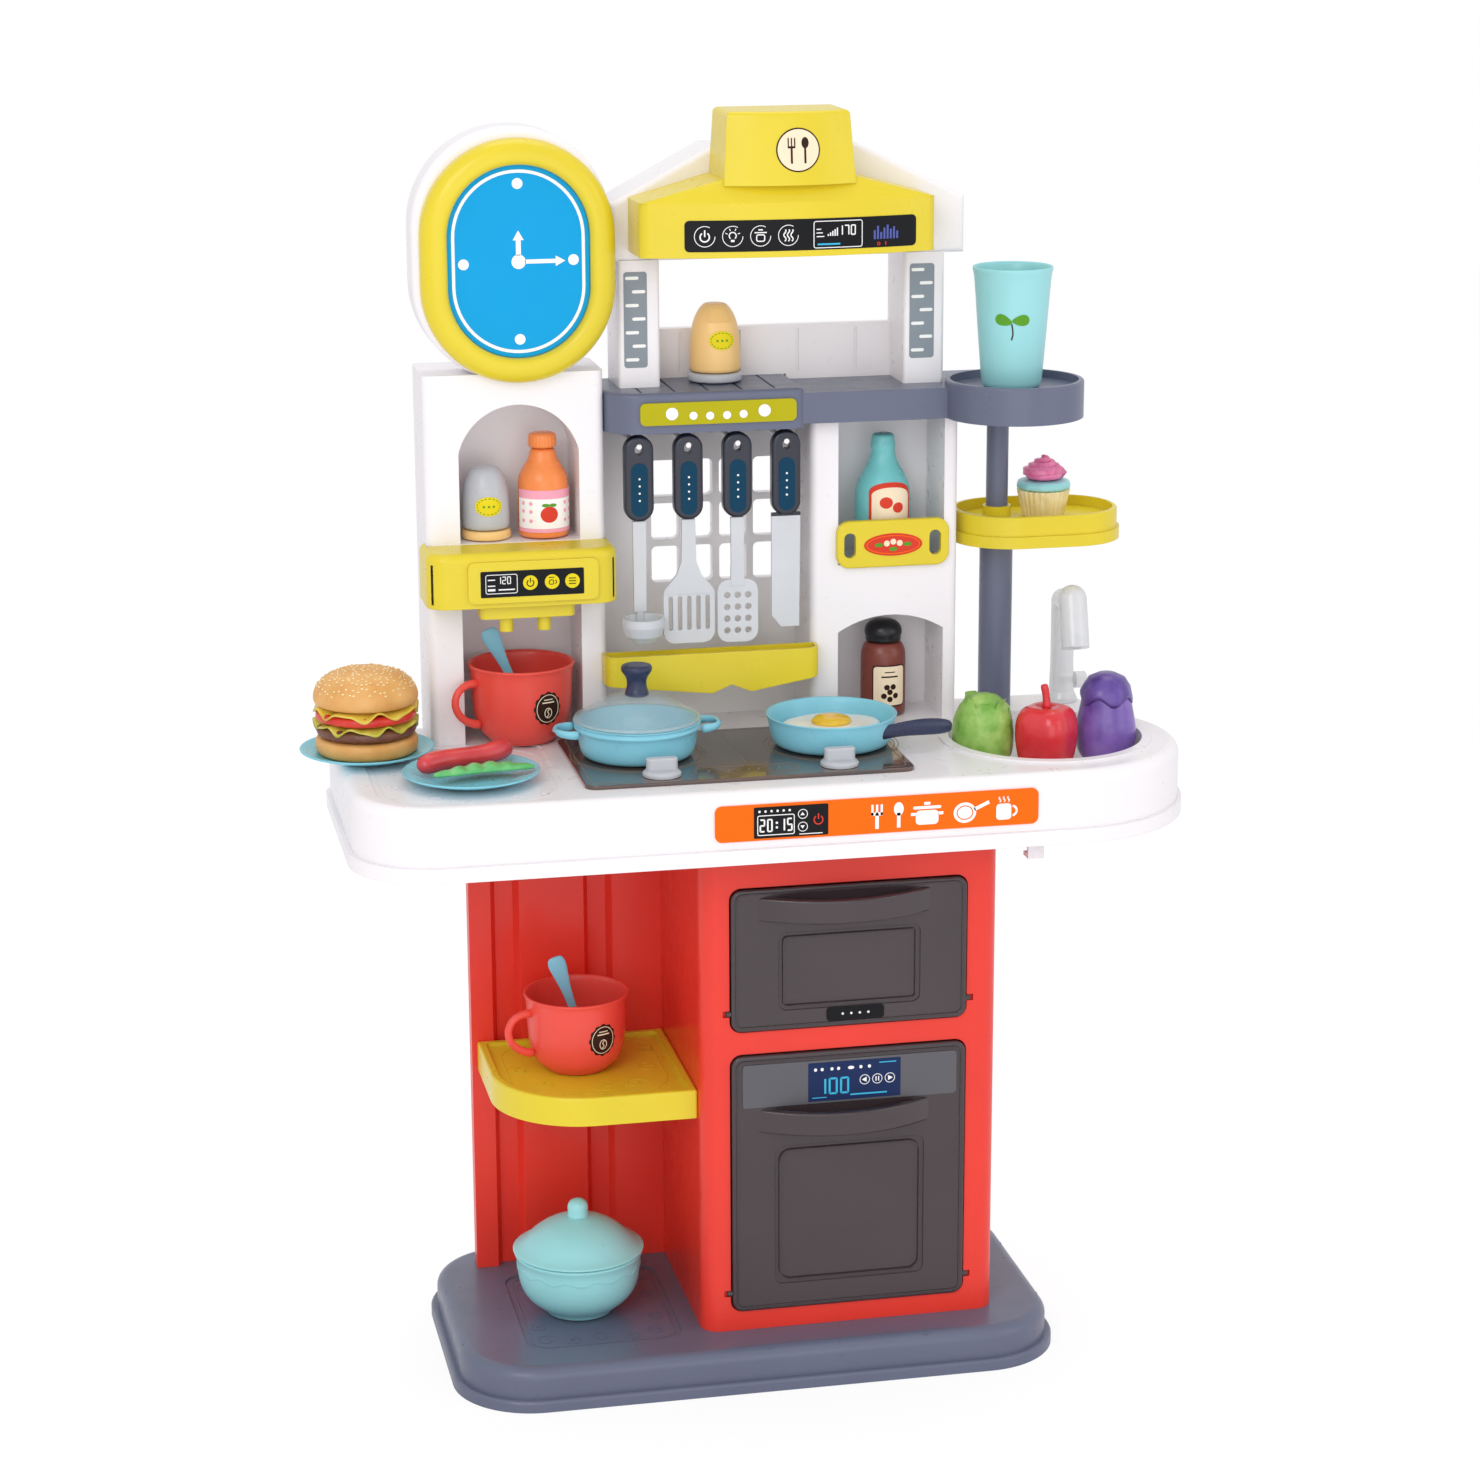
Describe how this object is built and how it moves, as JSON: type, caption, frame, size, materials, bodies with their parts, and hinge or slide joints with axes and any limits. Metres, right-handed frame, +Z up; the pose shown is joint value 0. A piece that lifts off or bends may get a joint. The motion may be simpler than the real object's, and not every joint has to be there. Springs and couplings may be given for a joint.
{
  "type": "play kitchen",
  "caption": "Free-standing toy kitchen with cooker and microwave doors, hob, sink with tap, clock tower, shelves, range hood and loose pots, cups, food and utensils.",
  "frame": {"origin": "on the floor under the middle of the base tray", "axes": "+Z up, the front with the doors faces -Y, +X to the right as seen from the front"},
  "size_m": [0.655, 0.259, 0.93],
  "materials": {
    "white_plastic": "gloss",
    "red_plastic": "gloss",
    "lime_plastic": "gloss",
    "slate_plastic": "gloss",
    "smoked_plastic": "gloss",
    "grey_plastic": "satin",
    "black_plastic": "gloss",
    "orange_plastic": "gloss",
    "clock_blue": "gloss",
    "lime_label": "satin",
    "pot_blue": "gloss",
    "clear_plastic": "clear",
    "navy_plastic": "gloss",
    "coral_plastic": "gloss",
    "turquoise_plastic": "gloss",
    "silver_plastic": "gloss",
    "plate_blue": "gloss",
    "salt_yellow": "gloss",
    "sugar_silver": "gloss",
    "milk_orange": "gloss",
    "sauce_turquoise": "gloss",
    "pepper_brown": "gloss",
    "cake_cream": "satin",
    "cabbage_green": "satin",
    "pepper_red": "gloss",
    "aubergine_purple": "gloss",
    "screw_steel": "plated"
  },
  "bodies": {
    "kitchen": {"base_tray": "slate_plastic", "cabinet_shell": "red_plastic", "cavity_shelf": "grey_plastic", "rear_cover": "red_plastic", "ribbed_panel": "red_plastic", "side_shelf": "lime_plastic", "countertop": "white_plastic", "sink_basin": "white_plastic", "pump_unit": "grey_plastic", "battery_box": "white_plastic", "battery_cover": "white_plastic", "sound_module": "black_plastic", "hob_plate": "black_plastic", "control_strip": "orange_plastic", "tower_shell": "white_plastic", "clock_ring": "lime_plastic", "clock_face": "clock_blue", "coffee_unit": "lime_plastic", "nozzle_block": "grey_plastic", "back_panel": "white_plastic", "right_column": "white_plastic", "sauce_holder": "lime_plastic", "top_shelf": "slate_plastic", "shelf_trim": "lime_label", "hooks": "white_plastic", "utensil_bin": "lime_plastic", "house_frame": "white_plastic", "hood": "lime_plastic", "pole": "slate_plastic", "screws": "screw_steel"},
    "microwave_door": {"microwave_door": "smoked_plastic"},
    "oven_door": {"oven_door": "smoked_plastic"},
    "hob_knob_left": {"hob_knob_left": "silver_plastic"},
    "hob_knob_right": {"hob_knob_right": "silver_plastic"},
    "faucet": {"faucet": "white_plastic"},
    "tap_knob": {"tap_knob": "grey_plastic"},
    "pole_shelf": {"pole_shelf": "lime_plastic"},
    "counter_cup": {"counter_cup": "coral_plastic"},
    "shelf_cup": {"shelf_cup": "coral_plastic"},
    "pot": {"pot": "pot_blue"},
    "pot_lid": {"pot_lid": "clear_plastic"},
    "pan": {"pan": "pot_blue"},
    "burger_plate": {"burger_plate": "plate_blue"},
    "serving_plate": {"serving_plate": "plate_blue"},
    "tumbler": {"tumbler": "turquoise_plastic"},
    "salt_shaker": {"salt_shaker": "salt_yellow"},
    "sugar_shaker": {"sugar_shaker": "sugar_silver"},
    "milk_bottle": {"milk_bottle": "milk_orange"},
    "sauce_bottle": {"sauce_bottle": "sauce_turquoise"},
    "pepper_shaker": {"pepper_shaker": "pepper_brown"},
    "cupcake": {"cupcake": "cake_cream"},
    "cabbage": {"cabbage": "cabbage_green"},
    "red_pepper": {"red_pepper": "pepper_red"},
    "eggplant": {"eggplant": "aubergine_purple"},
    "tureen": {"tureen": "turquoise_plastic"},
    "tureen_lid": {"tureen_lid": "turquoise_plastic"},
    "ladle": {"ladle": "silver_plastic"},
    "spatula": {"spatula": "silver_plastic"},
    "slotted_spoon": {"slotted_spoon": "silver_plastic"},
    "knife": {"knife": "silver_plastic"}
  },
  "joints": [
    {"name": "microwave_door_hinge", "type": "hinge", "parent": "kitchen", "child": "microwave_door", "pos_m": [0.0676, -0.082, 0.283], "axis": [1, 0, 0], "range_deg": [0, 90]},
    {"name": "oven_door_hinge", "type": "hinge", "parent": "kitchen", "child": "oven_door", "pos_m": [0.0676, -0.082, 0.062], "axis": [1, 0, 0], "range_deg": [0, 90]},
    {"name": "left_hob_knob_turn", "type": "hinge", "parent": "kitchen", "child": "hob_knob_left", "pos_m": [-0.071, -0.083, 0.47], "axis": [0, 0, 1], "range_deg": [-270, 0]},
    {"name": "right_hob_knob_turn", "type": "hinge", "parent": "kitchen", "child": "hob_knob_right", "pos_m": [0.06, -0.083, 0.47], "axis": [0, 0, 1], "range_deg": [-270, 0]},
    {"name": "tap_swivel", "type": "hinge", "parent": "kitchen", "child": "faucet", "pos_m": [0.276, 0.078, 0.47], "axis": [0, 0, 1], "range_deg": [-40, 40]},
    {"name": "tap_knob_turn", "type": "hinge", "parent": "faucet", "child": "tap_knob", "pos_m": [0.276, 0.078, 0.481], "axis": [1, 0, 0], "range_deg": [0, 90]},
    {"name": "pole_shelf_swing", "type": "hinge", "parent": "kitchen", "child": "pole_shelf", "pos_m": [0.221, 0.076, 0.61], "axis": [0, 0, 1], "range_deg": [-30, 30]},
    {"name": "counter_cup_lift", "type": "slide", "parent": "kitchen", "child": "counter_cup", "axis": [0, 0, 1], "range_m": [0, 0.015]},
    {"name": "shelf_cup_lift", "type": "slide", "parent": "kitchen", "child": "shelf_cup", "axis": [0, 0, 1], "range_m": [0, 0.06]},
    {"name": "pot_lift", "type": "slide", "parent": "kitchen", "child": "pot", "axis": [0, -0.7, 0.7141], "range_m": [0, 0.05]},
    {"name": "pot_lid_lift", "type": "slide", "parent": "pot", "child": "pot_lid", "axis": [0, -0.7, 0.7141], "range_m": [0, 0.04]},
    {"name": "pan_lift", "type": "slide", "parent": "kitchen", "child": "pan", "axis": [0, -0.6, 0.8], "range_m": [0, 0.05]},
    {"name": "burger_plate_lift", "type": "slide", "parent": "kitchen", "child": "burger_plate", "axis": [0, 0, 1], "range_m": [0, 0.05]},
    {"name": "serving_plate_lift", "type": "slide", "parent": "kitchen", "child": "serving_plate", "axis": [0, 0, 1], "range_m": [0, 0.05]},
    {"name": "tumbler_lift", "type": "slide", "parent": "kitchen", "child": "tumbler", "axis": [0, 0, 1], "range_m": [0, 0.06]},
    {"name": "salt_shaker_lift", "type": "slide", "parent": "kitchen", "child": "salt_shaker", "axis": [0, 0, 1], "range_m": [0, 0.025]},
    {"name": "sugar_shaker_pull", "type": "slide", "parent": "kitchen", "child": "sugar_shaker", "axis": [0, -1, 0], "range_m": [0, 0.04]},
    {"name": "milk_bottle_pull", "type": "slide", "parent": "kitchen", "child": "milk_bottle", "axis": [0, -1, 0], "range_m": [0, 0.04]},
    {"name": "sauce_bottle_lift", "type": "slide", "parent": "kitchen", "child": "sauce_bottle", "axis": [0, 0, 1], "range_m": [0, 0.012]},
    {"name": "pepper_shaker_pull", "type": "slide", "parent": "kitchen", "child": "pepper_shaker", "axis": [0, -1, 0], "range_m": [0, 0.04]},
    {"name": "cupcake_lift", "type": "slide", "parent": "pole_shelf", "child": "cupcake", "axis": [0, 0, 1], "range_m": [0, 0.03]},
    {"name": "cabbage_lift", "type": "slide", "parent": "kitchen", "child": "cabbage", "axis": [0, 0, 1], "range_m": [0, 0.06]},
    {"name": "red_pepper_lift", "type": "slide", "parent": "kitchen", "child": "red_pepper", "axis": [0, 0, 1], "range_m": [0, 0.05]},
    {"name": "eggplant_lift", "type": "slide", "parent": "kitchen", "child": "eggplant", "axis": [0, 0, 1], "range_m": [0, 0.06]},
    {"name": "tureen_lift", "type": "slide", "parent": "kitchen", "child": "tureen", "axis": [0, 0, 1], "range_m": [0, 0.03]},
    {"name": "tureen_lid_lift", "type": "slide", "parent": "tureen", "child": "tureen_lid", "axis": [0, 0, 1], "range_m": [0, 0.03]},
    {"name": "ladle_unhook", "type": "slide", "parent": "kitchen", "child": "ladle", "axis": [0, -1, 0], "range_m": [0, 0.03]},
    {"name": "spatula_unhook", "type": "slide", "parent": "kitchen", "child": "spatula", "axis": [0, -1, 0], "range_m": [0, 0.03]},
    {"name": "slotted_spoon_unhook", "type": "slide", "parent": "kitchen", "child": "slotted_spoon", "axis": [0, -1, 0], "range_m": [0, 0.03]},
    {"name": "knife_unhook", "type": "slide", "parent": "kitchen", "child": "knife", "axis": [0, -1, 0], "range_m": [0, 0.03]}
  ]
}
